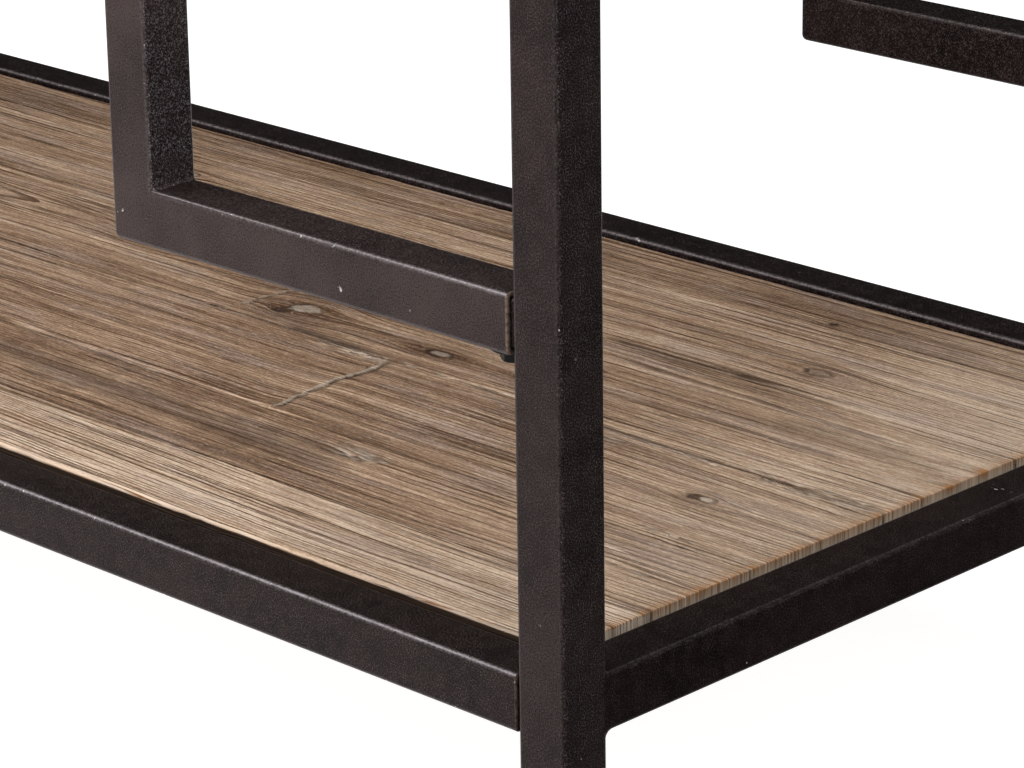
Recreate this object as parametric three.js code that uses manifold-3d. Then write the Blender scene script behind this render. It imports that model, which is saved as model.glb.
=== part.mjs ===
// Industrial console table: a square-tube iron frame with inset fir planks.
//
// Millimetres, +Z up. The origin is on the floor under the middle of the table.
// +X runs along the table to its right end, and the front of the table faces -Y.
//
// How it is built: each end of the table is two legs joined by two welded side rails. The long rails and
// the L-frames are open tubes that slide over square spigots on the legs. A screw from below clamps each
// one: a set screw flush with the lower rails, and a hexagon bolt elsewhere. Flat cross bars between the
// long rails carry the planks of the shelf and of the top.

import * as THREE from "three";
import { mergeVertices } from "three/addons/utils/BufferGeometryUtils.js";
import Module from "manifold-3d";

const wasm = await Module();
wasm.setup();

// ---------------------------------------------------------------- driving dimensions

const TABLE = { length: 1400, depth: 464, frameTop: 797 };
const TUBE = { size: 25, wall: 2, cornerRadius: 2.25 };
const SHELF_RAIL_TOP = 150; // top of the lower front and side rails above the floor
const BACK_RAIL_RISE = 6.3; // the lower back rail stands higher and makes a low lip behind the shelf
const JOINT_GAP = 0.3; // space between pieces that touch
const RAIL_END_GAP = 0.8; // between the end of a bolted long rail and the leg

const L_FRAME = {
  armUnderside: 130.6, // above the shelf rail's top
  postFromEnd: 232.3, // from the table's end to the near face of the post
  endGap: 2.6, // between the arm's open end and the leg
  cornerRadius: 3, // the outer corner, ground round after welding
  boreCornerRadius: 0.5,
};

const SPIGOT = { size: 20, reach: 32, edgeRadius: 1.5 };
const BOLT = {
  shankRadius: 3,
  shankLength: 14,
  headAcrossFlats: 10,
  headHeight: 4.8,
  washerRadius: 9.5,
  washerThickness: 1.2,
  holeRadius: 3.3,
  fromLeg: 11, // from the leg's face to the bolt's axis
};
const SET_SCREW = { length: 14, recess: 0.2, socketRadius: 1.75, socketDepth: 3 };

const PLANK = { thickness: 15, proud: 3, edgeGap: 1, seam: 0.4, arris: 1 };
const SHELF_PLANK_WIDTHS = [52, 60, 86, 91, 85, 36]; // front to back
const TOP_PLANK_WIDTHS = [74, 97, 68, 95, 76.4]; // front to back

const CROSS_BAR = { width: 30, thickness: 4, outerFromMiddle: 520 };
const SCREW = { shankRadius: 2, headRadius: 4, headHeight: 2.2, length: 14, holeRadius: 2.3 };
const SCREWED_SHELF_PLANKS = [1, 4];
const SCREWED_TOP_PLANKS = [1, 3];

const FOOT = { flange: 4, plugHeight: 14, plugSize: 20.4, plugRadius: 0.6 };

// ---------------------------------------------------------------- derived places

const HALF_TUBE = TUBE.size / 2;
const LEG_X = TABLE.length / 2 - HALF_TUBE;
const LEG_Y = TABLE.depth / 2 - HALF_TUBE;
const LEG_FACE_X = LEG_X - HALF_TUBE;
const LEG_BOTTOM = FOOT.flange + JOINT_GAP;
const CAVITY = TUBE.size - 2 * TUBE.wall;

const LOWER_FRONT_Z = SHELF_RAIL_TOP - HALF_TUBE;
const LOWER_BACK_Z = LOWER_FRONT_Z + BACK_RAIL_RISE;
const UPPER_Z = TABLE.frameTop - HALF_TUBE;
const ARM_Z = SHELF_RAIL_TOP + L_FRAME.armUnderside + HALF_TUBE;

const ARC_STEPS = 2; // gives four facets to each quarter round
const ROUND_SIDES = 24;

const ENDS = [
  { name: "right", x: 1 },
  { name: "left", x: -1 },
];
const SIDES = [
  { name: "front", y: -1, lowerRailZ: LOWER_FRONT_Z },
  { name: "back", y: 1, lowerRailZ: LOWER_BACK_Z },
];

// ---------------------------------------------------------------- materials

function agedIron() {
  return new THREE.MeshStandardMaterial({ color: 0x3a3331, roughness: 0.55, metalness: 0.55 });
}

function blackBolt() {
  return new THREE.MeshStandardMaterial({ color: 0x141313, roughness: 0.45, metalness: 0.8 });
}

function zincScrew() {
  return new THREE.MeshStandardMaterial({ color: 0x8c8a82, roughness: 0.35, metalness: 0.9 });
}

function barePlateSteel() {
  return new THREE.MeshStandardMaterial({ color: 0x2b2827, roughness: 0.6, metalness: 0.6 });
}

function blackPlastic() {
  return new THREE.MeshStandardMaterial({ color: 0x101010, roughness: 0.7, metalness: 0 });
}

const FIR_TONES = [0x8f7a63, 0x7d6855, 0x8c745b, 0x8a7259, 0x857060, 0x8b7761];

function firPlank(index) {
  const color = FIR_TONES[index % FIR_TONES.length];
  return new THREE.MeshStandardMaterial({ color, roughness: 0.85, metalness: 0 });
}

// ---------------------------------------------------------------- solid helpers

function toSolid(geometry) {
  const plain = geometry.clone();
  plain.deleteAttribute("normal");
  plain.deleteAttribute("uv");
  const merged = mergeVertices(plain, 1e-4);
  const vertProperties = new Float32Array(merged.attributes.position.array);
  const triVerts = new Uint32Array(merged.index.array);
  return new wasm.Manifold(new wasm.Mesh({ numProp: 3, vertProperties, triVerts }));
}

function toGeometry(solid) {
  const mesh = solid.getMesh();
  const geometry = new THREE.BufferGeometry();
  geometry.setAttribute("position", new THREE.BufferAttribute(new Float32Array(mesh.vertProperties), 3));
  geometry.setIndex(new THREE.BufferAttribute(new Uint32Array(mesh.triVerts), 1));
  const flat = geometry.toNonIndexed();
  flat.computeVertexNormals();
  return flat;
}

function join(solid, ...others) {
  return others.reduce((sum, other) => sum.add(other), solid);
}

function cut(solid, ...others) {
  return others.reduce((rest, other) => rest.subtract(other), solid);
}

function roundedRectangle(width, height, radius) {
  const x = width / 2 - radius;
  const y = height / 2 - radius;
  const quarter = Math.PI / 2;
  const shape = new THREE.Shape();
  shape.absarc(x, y, radius, 0, quarter, false);
  shape.absarc(-x, y, radius, quarter, 2 * quarter, false);
  shape.absarc(-x, -y, radius, 2 * quarter, 3 * quarter, false);
  shape.absarc(x, -y, radius, 3 * quarter, 4 * quarter, false);
  return shape;
}

// A prism of a rounded rectangle, from z = 0 up to the length.
function prism(width, height, radius, length) {
  const shape = roundedRectangle(width, height, radius);
  return new THREE.ExtrudeGeometry(shape, { depth: length, bevelEnabled: false, curveSegments: ARC_STEPS });
}

// A length of the square tube, open at both ends, centred on the origin along Z.
function openTube(length) {
  const outer = prism(TUBE.size, TUBE.size, TUBE.cornerRadius, length).translate(0, 0, -length / 2);
  const bore = prism(CAVITY, CAVITY, TUBE.cornerRadius - TUBE.wall, length + 2);
  return cut(toSolid(outer), toSolid(bore.translate(0, 0, -length / 2 - 1)));
}

// An upright cylinder between two heights.
function post(radius, low, high, x, y, sides = ROUND_SIDES) {
  const cylinder = new THREE.CylinderGeometry(radius, radius, high - low, sides);
  cylinder.rotateX(Math.PI / 2);
  return cylinder.translate(x, y, (low + high) / 2);
}

function turned(solid, axis) {
  return axis === "x" ? solid.rotate([0, 90, 0]) : solid.rotate([90, 0, 0]);
}

// ---------------------------------------------------------------- the frame

const table = new THREE.Group();

function add(name, geometry, material, x, y, z, turn = 0) {
  const mesh = new THREE.Mesh(geometry, material);
  mesh.name = name;
  mesh.position.set(x, y, z);
  mesh.rotation.z = turn;
  table.add(mesh);
}

// The left end is the right end turned half round.
function endTurn(end) {
  return end.x > 0 ? 0 : Math.PI;
}

// A square bar that sticks out of the leg's inner face. It is drilled upright for its screw.
function spigot(z) {
  const length = SPIGOT.reach + 1;
  const bar = prism(SPIGOT.size, SPIGOT.size, SPIGOT.edgeRadius, length);
  bar.rotateY(-Math.PI / 2).translate(1 - HALF_TUBE, 0, z);
  return toSolid(bar);
}

function boltHole(x, z) {
  return toSolid(post(BOLT.holeRadius, z - HALF_TUBE, z + HALF_TUBE, x, 0));
}

// One leg of the right end, standing on the origin: a tube closed at its top, with three spigots.
function legGeometry(spigotHeights) {
  const outer = prism(TUBE.size, TUBE.size, TUBE.cornerRadius, TABLE.frameTop - LEG_BOTTOM);
  const bore = prism(CAVITY, CAVITY, TUBE.cornerRadius - TUBE.wall, TABLE.frameTop - TUBE.wall);
  const tube = cut(toSolid(outer.translate(0, 0, LEG_BOTTOM)), toSolid(bore));
  const boltX = -HALF_TUBE - BOLT.fromLeg;
  const spigots = spigotHeights.map((z) => cut(spigot(z), boltHole(boltX, z)));
  return toGeometry(join(tube, ...spigots));
}

function addLegs() {
  for (const side of SIDES) {
    const geometry = legGeometry([side.lowerRailZ, ARM_Z, UPPER_Z]);
    for (const end of ENDS) {
      const name = `leg_${side.name}_${end.name}`;
      add(name, geometry, agedIron(), end.x * LEG_X, side.y * LEG_Y, 0, endTurn(end));
    }
  }
}

function addSideRails() {
  const length = 2 * (LEG_Y - HALF_TUBE - JOINT_GAP);
  const geometry = toGeometry(turned(openTube(length), "y"));
  for (const end of ENDS) {
    add(`lower_side_rail_${end.name}`, geometry, agedIron(), end.x * LEG_X, 0, LOWER_FRONT_Z);
    add(`upper_side_rail_${end.name}`, geometry, agedIron(), end.x * LEG_X, 0, UPPER_Z);
  }
}

// A long rail lies along X and has a screw hole in its underside near each end.
function addLongRails() {
  const length = 2 * (LEG_FACE_X - RAIL_END_GAP);
  const boltX = LEG_FACE_X - BOLT.fromLeg;
  const holes = [boltX, -boltX].map((x) => toSolid(post(BOLT.holeRadius, -HALF_TUBE - 1, 0, x, 0)));
  const geometry = toGeometry(cut(turned(openTube(length), "x"), ...holes));
  for (const side of SIDES) {
    add(`lower_${side.name}_rail`, geometry, agedIron(), 0, side.y * LEG_Y, side.lowerRailZ);
    add(`upper_${side.name}_rail`, geometry, agedIron(), 0, side.y * LEG_Y, UPPER_Z);
  }
}

// The L's outline, with x along the arm and y up the post, measured from the outer corner.
function lOutline(inset, armEnd, postEnd, cornerRadius) {
  const inner = TUBE.size - inset;
  const shape = new THREE.Shape();
  shape.absarc(inset + cornerRadius, inset + cornerRadius, cornerRadius, Math.PI, 1.5 * Math.PI, false);
  shape.lineTo(armEnd, inset);
  shape.lineTo(armEnd, inner);
  shape.lineTo(inner, inner);
  shape.lineTo(inner, postEnd);
  shape.lineTo(inset, postEnd);
  shape.closePath();
  return shape;
}

// The L-frame of the right end: a post welded to an arm that points along +X to the leg.
// It is measured from the outer lower corner, and its thickness is centred on y = 0.
function lFrameGeometry(armLength, postHeight) {
  const spare = 2 * TUBE.cornerRadius;
  const outline = lOutline(0, armLength + spare, postHeight + spare, L_FRAME.cornerRadius);
  const outer = new THREE.ExtrudeGeometry(outline, {
    depth: TUBE.size - 2 * TUBE.cornerRadius,
    bevelThickness: TUBE.cornerRadius,
    bevelSize: TUBE.cornerRadius,
    bevelOffset: -TUBE.cornerRadius,
    bevelSegments: 2 * ARC_STEPS,
    curveSegments: ARC_STEPS,
  });
  outer.translate(0, 0, TUBE.cornerRadius - HALF_TUBE).rotateX(Math.PI / 2);
  const boreEnds = [armLength + spare, postHeight + spare];
  const boreOutline = lOutline(TUBE.wall, ...boreEnds, L_FRAME.boreCornerRadius);
  const bore = new THREE.ExtrudeGeometry(boreOutline, {
    depth: CAVITY,
    bevelEnabled: false,
    curveSegments: ARC_STEPS,
  });
  bore.translate(0, 0, -CAVITY / 2).rotateX(Math.PI / 2);
  const room = new THREE.BoxGeometry(armLength + 1, TUBE.size + 2, postHeight + 1);
  room.translate((armLength - 1) / 2, 0, (postHeight - 1) / 2);
  const boltX = armLength + L_FRAME.endGap - BOLT.fromLeg;
  const hole = toSolid(post(BOLT.holeRadius, -1, HALF_TUBE, boltX, 0));
  return toGeometry(cut(toSolid(outer).intersect(toSolid(room)), toSolid(bore), hole));
}

function addLFrames() {
  const cornerX = TABLE.length / 2 - L_FRAME.postFromEnd - TUBE.size;
  const armLength = LEG_FACE_X - L_FRAME.endGap - cornerX;
  const bottom = ARM_Z - HALF_TUBE;
  const postHeight = UPPER_Z - HALF_TUBE - JOINT_GAP - bottom;
  const geometry = lFrameGeometry(armLength, postHeight);
  for (const side of SIDES) {
    for (const end of ENDS) {
      const name = `l_frame_${side.name}_${end.name}`;
      add(name, geometry, agedIron(), end.x * cornerX, side.y * LEG_Y, bottom, endTurn(end));
    }
  }
}

// ---------------------------------------------------------------- bolts

// A hexagon bolt with a captive washer. The washer's upper face is at z = 0 and the shank points up.
function boltGeometry() {
  const washer = post(BOLT.washerRadius, -BOLT.washerThickness, 0, 0, 0);
  const shank = post(BOLT.shankRadius, -BOLT.washerThickness / 2, BOLT.shankLength, 0, 0, 16);
  const cornerRadius = BOLT.headAcrossFlats / Math.sqrt(3);
  const headBottom = -BOLT.washerThickness - BOLT.headHeight;
  const head = post(cornerRadius, headBottom, -BOLT.washerThickness / 2, 0, 0, 6);
  return toGeometry(join(toSolid(washer), toSolid(shank), toSolid(head)));
}

// A headless screw with a hexagon socket. Its lower end is at z = 0.
function setScrewGeometry() {
  const shank = post(BOLT.shankRadius, 0, SET_SCREW.length, 0, 0, 16);
  const socket = post(SET_SCREW.socketRadius, -1, SET_SCREW.socketDepth, 0, 0, 6);
  return toGeometry(cut(toSolid(shank), toSolid(socket)));
}

function addBolts() {
  const bolt = boltGeometry();
  const setScrew = setScrewGeometry();
  for (const side of SIDES) {
    const y = side.y * LEG_Y;
    for (const end of ENDS) {
      const x = end.x * (LEG_FACE_X - BOLT.fromLeg);
      const corner = `${side.name}_${end.name}`;
      const setScrewZ = side.lowerRailZ - HALF_TUBE + SET_SCREW.recess;
      add(`lower_rail_set_screw_${corner}`, setScrew, blackBolt(), x, y, setScrewZ);
      add(`l_frame_bolt_${corner}`, bolt, blackBolt(), x, y, ARM_Z - HALF_TUBE - JOINT_GAP);
      add(`upper_rail_bolt_${corner}`, bolt, blackBolt(), x, y, UPPER_Z - HALF_TUBE - JOINT_GAP);
    }
  }
}

// ---------------------------------------------------------------- planks and what carries them

// The middle of each plank across the table, counted from the front rail's inner face.
function plankCentres(widths) {
  let edge = -LEG_Y + HALF_TUBE + PLANK.edgeGap;
  return widths.map((width) => {
    const centre = edge + width / 2;
    edge += width + PLANK.seam;
    return centre;
  });
}

function crossBarPlaces() {
  return { right: CROSS_BAR.outerFromMiddle, middle: 0, left: -CROSS_BAR.outerFromMiddle };
}

function screwHoles(low, high) {
  const places = [CROSS_BAR.outerFromMiddle, -CROSS_BAR.outerFromMiddle];
  return places.map((x) => toSolid(post(SCREW.holeRadius, low, high, x, 0, 12)));
}

// A plank along X with slightly eased edges, centred on the origin, with blind holes for its screws.
function plankGeometry(width, screwed) {
  const length = 2 * (LEG_FACE_X - PLANK.edgeGap);
  const body = prism(PLANK.thickness, width, PLANK.arris, length).translate(0, 0, -length / 2);
  body.rotateY(Math.PI / 2);
  const bottom = -PLANK.thickness / 2;
  const holes = screwed ? screwHoles(bottom - 1, bottom + SCREW.length - CROSS_BAR.thickness + 1) : [];
  return toGeometry(cut(toSolid(body), ...holes));
}

function addPlanks(name, widths, screwed, frameTop) {
  const z = frameTop + PLANK.proud - PLANK.thickness / 2;
  plankCentres(widths).forEach((y, index) => {
    const geometry = plankGeometry(widths[index], screwed.includes(index));
    add(`${name}_plank_${index + 1}`, geometry, firPlank(index), 0, y, z);
  });
}

// A flat bar across the table between the long rails, drilled where its screws pass.
function crossBarGeometry(screwPlaces) {
  const length = 2 * (LEG_Y - HALF_TUBE - JOINT_GAP);
  const bar = new THREE.BoxGeometry(CROSS_BAR.width, length, CROSS_BAR.thickness);
  const reach = CROSS_BAR.thickness;
  const holes = screwPlaces.map((y) => toSolid(post(SCREW.holeRadius, -reach, reach, 0, y, 12)));
  return toGeometry(cut(toSolid(bar), ...holes));
}

// A pan-head wood screw pointing up, with the underside of its head at z = 0.
function screwGeometry() {
  const profile = [
    new THREE.Vector2(0, -SCREW.headHeight),
    new THREE.Vector2(SCREW.headRadius * 0.7, -SCREW.headHeight),
    new THREE.Vector2(SCREW.headRadius, -SCREW.headHeight * 0.5),
    new THREE.Vector2(SCREW.headRadius, 0),
    new THREE.Vector2(SCREW.shankRadius, 0),
    new THREE.Vector2(SCREW.shankRadius, SCREW.length * 0.8),
    new THREE.Vector2(0, SCREW.length),
  ];
  return new THREE.LatheGeometry(profile, 12).rotateX(Math.PI / 2);
}

function addCrossBars(name, widths, screwed, frameTop) {
  const planksBottom = frameTop + PLANK.proud - PLANK.thickness;
  const z = planksBottom - JOINT_GAP - CROSS_BAR.thickness / 2;
  const screwZ = z - CROSS_BAR.thickness / 2 - JOINT_GAP;
  const centres = plankCentres(widths);
  const screwPlaces = screwed.map((index) => centres[index]);
  for (const [place, x] of Object.entries(crossBarPlaces())) {
    const drilled = place === "middle" ? [] : screwPlaces;
    add(`${name}_cross_bar_${place}`, crossBarGeometry(drilled), barePlateSteel(), x, 0, z);
    drilled.forEach((y, index) => {
      const row = index === 0 ? "front" : "back";
      add(`${name}_screw_${row}_${place}`, screwGeometry(), zincScrew(), x, y, screwZ);
    });
  }
}

// ---------------------------------------------------------------- feet

// A moulded plug: a square pad under the leg and a shank that fills the tube's lower end.
function footGeometry() {
  const pad = prism(TUBE.size, TUBE.size, TUBE.cornerRadius, FOOT.flange);
  const plug = prism(FOOT.plugSize, FOOT.plugSize, FOOT.plugRadius, FOOT.plugHeight + 1);
  return toGeometry(join(toSolid(pad), toSolid(plug.translate(0, 0, FOOT.flange - 1))));
}

function addFeet() {
  const geometry = footGeometry();
  for (const side of SIDES) {
    for (const end of ENDS) {
      add(`foot_${side.name}_${end.name}`, geometry, blackPlastic(), end.x * LEG_X, side.y * LEG_Y, 0);
    }
  }
}

// ---------------------------------------------------------------- the table

addLegs();
addSideRails();
addLongRails();
addLFrames();
addBolts();
addPlanks("shelf", SHELF_PLANK_WIDTHS, SCREWED_SHELF_PLANKS, SHELF_RAIL_TOP);
addPlanks("top", TOP_PLANK_WIDTHS, SCREWED_TOP_PLANKS, TABLE.frameTop);
addCrossBars("shelf", SHELF_PLANK_WIDTHS, SCREWED_SHELF_PLANKS, SHELF_RAIL_TOP);
addCrossBars("top", TOP_PLANK_WIDTHS, SCREWED_TOP_PLANKS, TABLE.frameTop);
addFeet();

export default table;
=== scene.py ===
"""Looks of the console table: aged iron tubes and worn fir planks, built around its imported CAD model."""

import math
from collections import namedtuple

import bmesh
import bpy
import numpy as np
from mathutils import Matrix, Vector


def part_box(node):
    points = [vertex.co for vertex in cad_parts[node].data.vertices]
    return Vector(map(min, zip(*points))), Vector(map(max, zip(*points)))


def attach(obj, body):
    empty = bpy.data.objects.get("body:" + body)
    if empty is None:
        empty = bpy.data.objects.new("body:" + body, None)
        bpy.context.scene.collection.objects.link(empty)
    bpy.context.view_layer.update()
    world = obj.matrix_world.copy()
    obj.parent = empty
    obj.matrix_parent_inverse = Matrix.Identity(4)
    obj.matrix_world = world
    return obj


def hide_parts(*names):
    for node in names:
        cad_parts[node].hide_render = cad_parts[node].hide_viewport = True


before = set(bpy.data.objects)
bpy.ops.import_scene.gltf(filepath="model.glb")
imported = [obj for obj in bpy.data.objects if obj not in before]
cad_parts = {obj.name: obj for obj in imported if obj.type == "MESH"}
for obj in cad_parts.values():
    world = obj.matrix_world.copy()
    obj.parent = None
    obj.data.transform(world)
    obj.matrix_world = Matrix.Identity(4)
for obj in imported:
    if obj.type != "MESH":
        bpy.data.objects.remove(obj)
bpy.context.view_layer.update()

MM = 0.001
SIDES = ("right", "left")
ENDS = ("front", "back")
LEVELS = ("lower", "upper")


# ------------------------------------------------------------------ camera, lights, floor

# From the near leg's outer edge, at the height of the shelf rail's top.
CAMERA_FROM_LEG = Vector((0.994, -1.0307, 0.6255))
CAMERA_HEADING = math.radians(44.68)  # turned from +Y towards -X
CAMERA_DIP = math.radians(19.22)
CAMERA_ROLL = math.radians(-0.863)
CAMERA_LENS = 142.15


def make_camera():
    """A long lens from the front right, looking down at the shelf's near corner."""
    foot_low, foot_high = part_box("foot_front_right")
    rail_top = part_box("lower_front_rail")[1].z
    data = bpy.data.cameras.new("camera")
    data.lens = CAMERA_LENS
    camera = bpy.data.objects.new("camera", data)
    bpy.context.scene.collection.objects.link(camera)
    forward = Vector((
        -math.sin(CAMERA_HEADING) * math.cos(CAMERA_DIP),
        math.cos(CAMERA_HEADING) * math.cos(CAMERA_DIP),
        -math.sin(CAMERA_DIP),
    ))
    level = Vector((math.cos(CAMERA_HEADING), math.sin(CAMERA_HEADING), 0))
    right = math.cos(CAMERA_ROLL) * level + math.sin(CAMERA_ROLL) * level.cross(forward)
    turn = Matrix((right, right.cross(forward), -forward)).transposed()
    place = Vector((foot_high.x, foot_low.y, rail_top)) + CAMERA_FROM_LEG
    camera.matrix_world = Matrix.Translation(place) @ turn.to_4x4()
    bpy.context.scene.camera = camera


def area_light(name, place, aim, size, watts, colour=(1, 1, 1)):
    data = bpy.data.lights.new(name, "AREA")
    data.size = size
    data.energy = watts
    data.color = colour
    light = bpy.data.objects.new(name, data)
    light.location = place
    light.rotation_mode = "QUATERNION"
    light.rotation_quaternion = (Vector(aim) - Vector(place)).to_track_quat("-Z", "Y")
    bpy.context.scene.collection.objects.link(light)


def make_lights():
    area_light("overhead", (0.2, -0.3, 2.4), (0.2, -0.1, 0), 2.2, 34)
    area_light("front_softbox", (0.5, -2.2, 1.7), (0.5, 0, 0.15), 1.2, 29, (1.0, 0.97, 0.95))
    area_light("left_softbox", (-1.2, -1.05, 1.85), (0.6, -0.1, 0.2), 1.3, 44, (0.91, 0.95, 1.0))
    area_light("right_softbox", (2.5, -0.5, 1.7), (0.5, 0, 0.15), 1.1, 24)


def make_world():
    """White behind the table, and a dim grey room for all that the table mirrors."""
    world = bpy.data.worlds.new("studio")
    bpy.context.scene.world = world
    world.use_nodes = True
    nodes, links = world.node_tree.nodes, world.node_tree.links
    nodes.clear()
    backdrop = nodes.new("ShaderNodeBackground")
    backdrop.inputs["Color"].default_value = (1, 1, 1, 1)
    room = nodes.new("ShaderNodeBackground")
    room.inputs["Color"].default_value = (1, 1, 1, 1)
    room.inputs["Strength"].default_value = 0.05
    path = nodes.new("ShaderNodeLightPath")
    mix = nodes.new("ShaderNodeMixShader")
    out = nodes.new("ShaderNodeOutputWorld")
    links.new(path.outputs["Is Camera Ray"], mix.inputs["Fac"])
    links.new(room.outputs[0], mix.inputs[1])
    links.new(backdrop.outputs[0], mix.inputs[2])
    links.new(mix.outputs[0], out.inputs["Surface"])


def flat_sheet(name, low_x, high_x, low_y, high_y, z, material):
    mesh = bpy.data.meshes.new(name)
    corners = [(low_x, low_y, z), (high_x, low_y, z), (high_x, high_y, z), (low_x, high_y, z)]
    mesh.from_pydata(corners, [], [(0, 1, 2, 3)])
    mesh.materials.append(material)
    sheet = bpy.data.objects.new(name, mesh)
    bpy.context.scene.collection.objects.link(sheet)
    return sheet


def make_floor():
    """A pale floor, and on it a dark flag that the camera doesn't see, to deepen the iron's right faces."""
    look = Look("floor")
    look.set("Base Color", (0.40, 0.40, 0.40, 1))
    look.set("Roughness", 0.9)
    look.set("Specular IOR Level", 0.1)
    look.set("Emission Color", (1, 1, 1, 1))
    look.set("Emission Strength", 0.92)
    flat_sheet("floor", -8, 8, -8, 8, 0, look.material)
    dark = Look("flag")
    dark.set("Base Color", (0.01, 0.01, 0.01, 1))
    dark.set("Roughness", 1.0)
    flag = flat_sheet("flag", 0.72, 6, -1.2, 8, 0.002, dark.material)
    flag.visible_camera = False
    flag.visible_shadow = False
    flag.visible_transmission = False


# ------------------------------------------------------------------ node materials

class Look:
    """A material, with short ways to add and wire its nodes. A value may be a number or a socket."""

    def __init__(self, name):
        self.material = bpy.data.materials.new(name)
        self.material.use_nodes = True
        self.tree = self.material.node_tree
        self.shader = self.tree.nodes["Principled BSDF"]

    def wire(self, value, socket):
        if isinstance(value, bpy.types.NodeSocket):
            self.tree.links.new(value, socket)
        else:
            socket.default_value = value

    def set(self, socket_name, value):
        self.wire(value, self.shader.inputs[socket_name])

    def add(self, kind, inputs=None, **settings):
        node = self.tree.nodes.new("ShaderNode" + kind)
        for setting, value in settings.items():
            setattr(node, setting, value)
        for key, value in (inputs or {}).items():
            self.wire(value, node.inputs[key])
        return node

    def math(self, operation, first, second=0.0, third=0.0):
        node = self.add("Math", {0: first, 1: second, 2: third}, operation=operation)
        return node.outputs[0]

    def times(self, first, second):
        return self.math("MULTIPLY", first, second)

    def times_plus(self, first, second, third):
        """first times second, plus third."""
        return self.math("MULTIPLY_ADD", first, second, third)

    def facing(self):
        """The surface's direction as x, y and z."""
        return self.split(self.add("TexCoord").outputs["Normal"])

    def clamp(self, value):
        return self.add("Clamp", {"Value": value}).outputs[0]

    def scaled(self, vector, x, y, z):
        node = self.add("VectorMath", {0: vector, 1: (x, y, z)}, operation="MULTIPLY")
        return node.outputs[0]

    def vector(self, x, y):
        return self.add("CombineXYZ", {"X": x, "Y": y}).outputs[0]

    def split(self, vector):
        return self.add("SeparateXYZ", {0: vector}).outputs

    def noise(self, vector, scale, detail, roughness=0.5):
        inputs = {"Vector": vector, "Scale": scale, "Detail": detail, "Roughness": roughness}
        return self.add("TexNoise", inputs).outputs[0]

    def ramp(self, value, *stops):
        """stops are (position, grey or colour) pairs in rising order."""
        node = self.add("ValToRGB", {"Fac": value})
        points = node.color_ramp.elements
        while len(points) < len(stops):
            points.new(1.0)
        for point, (position, colour) in zip(points, stops):
            point.position = position
            point.color = (*colour, 1) if isinstance(colour, tuple) else (colour, colour, colour, 1)
        return node.outputs[0]

    def blend(self, amount, first, second):
        """second over first. Colours are tuples of three or sockets."""
        first, second = [(*c, 1) if isinstance(c, tuple) else c for c in (first, second)]
        node = self.add("Mix", data_type="RGBA", blend_type="MIX")
        factor, _, _, _, _, _, colour_a, colour_b = node.inputs[:8]
        self.wire(amount, factor)
        self.wire(first, colour_a)
        self.wire(second, colour_b)
        return node.outputs[2]

    def bump(self, height, distance, strength):
        return self.add("Bump", {"Height": height, "Distance": distance, "Strength": strength}).outputs[0]

    def place(self):
        return self.add("TexCoord").outputs["Object"]

    def arris(self):
        """0 on faces square to the axes, 1 where a rounded edge faces between two of them."""
        normal = self.add("TexCoord").outputs["Normal"]
        size = self.add("VectorMath", {0: normal}, operation="ABSOLUTE").outputs[0]
        x, y, z = self.split(size)
        flattest = self.math("MAXIMUM", self.math("MAXIMUM", x, y), z)
        return self.clamp(self.times(self.math("SUBTRACT", 1.0, flattest), 3.4))


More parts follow.
